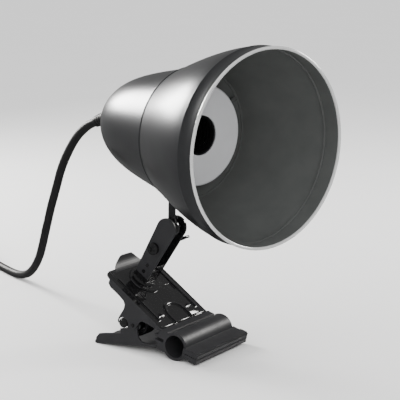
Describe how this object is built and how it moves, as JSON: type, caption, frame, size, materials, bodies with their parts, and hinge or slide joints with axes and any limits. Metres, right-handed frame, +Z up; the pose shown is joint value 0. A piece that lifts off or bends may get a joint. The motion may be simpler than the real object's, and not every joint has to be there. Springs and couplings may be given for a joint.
{
  "type": "clip on reading lamp",
  "caption": "Spring-jawed clip lamp with a two-stage bell shade on a ball-jointed arm, a screw lampholder behind a round disc and a mains cord with plug.",
  "frame": {"origin": "under the middle of the lamp's own box (shade, arm and clamp, without the cord), on the surface it stands on", "axes": "+X from the clamp's handles to its jaws, +Y along the jaws, +Z up"},
  "size_m": [0.5198, 0.2366, 0.233],
  "materials": {
    "shade_paint": "satin gunmetal lacquer over spun steel",
    "polished_rim": "polished rolled rim",
    "black_steel": "gloss black lacquered steel",
    "arm_paint": "matt dark grey lacquer",
    "zinc_steel": "bright zinc",
    "grey_disc": "satin spun disc",
    "moulded_holder": "moulded resin",
    "brass_parts": "bright",
    "live_insulation": "insulation",
    "neutral_insulation": "insulation",
    "earth_insulation": "insulation",
    "black_rubber": "moulded",
    "black_cord": "matt sheath",
    "jaw_rubber": "satin moulded pad",
    "spring_steel": "oiled black",
    "plated_pins": "nickel plated"
  },
  "bodies": {
    "base": {"lower_lever": "black_steel", "lower_jaw_pad": "jaw_rubber", "pivot_pin": "black_steel", "spring_sleeve": "zinc_steel", "torsion_spring": "spring_steel"},
    "upper_jaw": {"upper_lever": "black_steel", "upper_jaw_pad": "jaw_rubber", "swivel_rivet": "zinc_steel"},
    "arm": {"swivel_base": "black_steel", "base_rivets": "black_steel", "arm_plate_front": "arm_paint", "arm_plate_rear": "arm_paint", "arm_screw": "black_steel"},
    "wing": {"wing_nut": "black_steel"},
    "neck": {"ball_stem": "black_steel", "stem_nut": "zinc_steel"},
    "head": {"front_reflector": "shade_paint", "rim_ring": "polished_rim", "rear_housing": "shade_paint", "mounting_plate": "black_steel", "plate_screws": "zinc_steel", "socket_disc": "grey_disc", "lampholder_body": "moulded_holder", "threaded_shell": "brass_parts", "centre_contact": "brass_parts", "side_contact": "brass_parts", "terminal_screws": "zinc_steel", "live_wire": "live_insulation", "neutral_wire": "neutral_insulation", "earth_wire": "earth_insulation", "earth_screw": "brass_parts", "strain_relief": "black_rubber", "cord_inner": "black_cord", "cord_grip": "moulded_holder", "stem_washer": "black_steel", "cord_tube": "black_cord", "cord_coil": "black_cord", "cord_tie": "black_rubber", "plug_body": "black_rubber", "plug_pins": "plated_pins", "plug_earth_strips": "plated_pins"}
  },
  "joints": [
    {"name": "jaw_open", "type": "hinge", "parent": "base", "child": "upper_jaw", "pos_m": [-0.0293, 0.02585, 0.02038], "axis": [0, -1, 0], "range_deg": [0, 35], "stiffness_Nm_per_rad": 0.8, "springref_deg": -51.57, "deforming": ["torsion_spring", "cord_tube"]},
    {"name": "arm_swivel", "type": "hinge", "parent": "upper_jaw", "child": "arm", "pos_m": [-0.04052, 0.02585, 0.04872], "axis": [0.5664, 0, 0.8241], "range_deg": [-90, 90], "deforming": ["cord_tube"]},
    {"name": "wing_nut_turn", "type": "hinge", "parent": "arm", "child": "wing", "pos_m": [-0.02514, 0.03385, 0.07552], "axis": [0, 1, 0], "range_deg": [0, 360]},
    {"name": "head_tilt", "type": "hinge", "parent": "arm", "child": "neck", "pos_m": [-0.01426, 0.02585, 0.09134], "axis": [0, -1, 0], "range_deg": [-45, 40], "deforming": ["cord_tube"]},
    {"name": "head_swivel", "type": "hinge", "parent": "neck", "child": "head", "pos_m": [-0.01426, 0.02585, 0.09134], "axis": [0.0219, -0.0061, 0.9997], "range_deg": [-120, 120], "deforming": ["cord_tube"]}
  ]
}
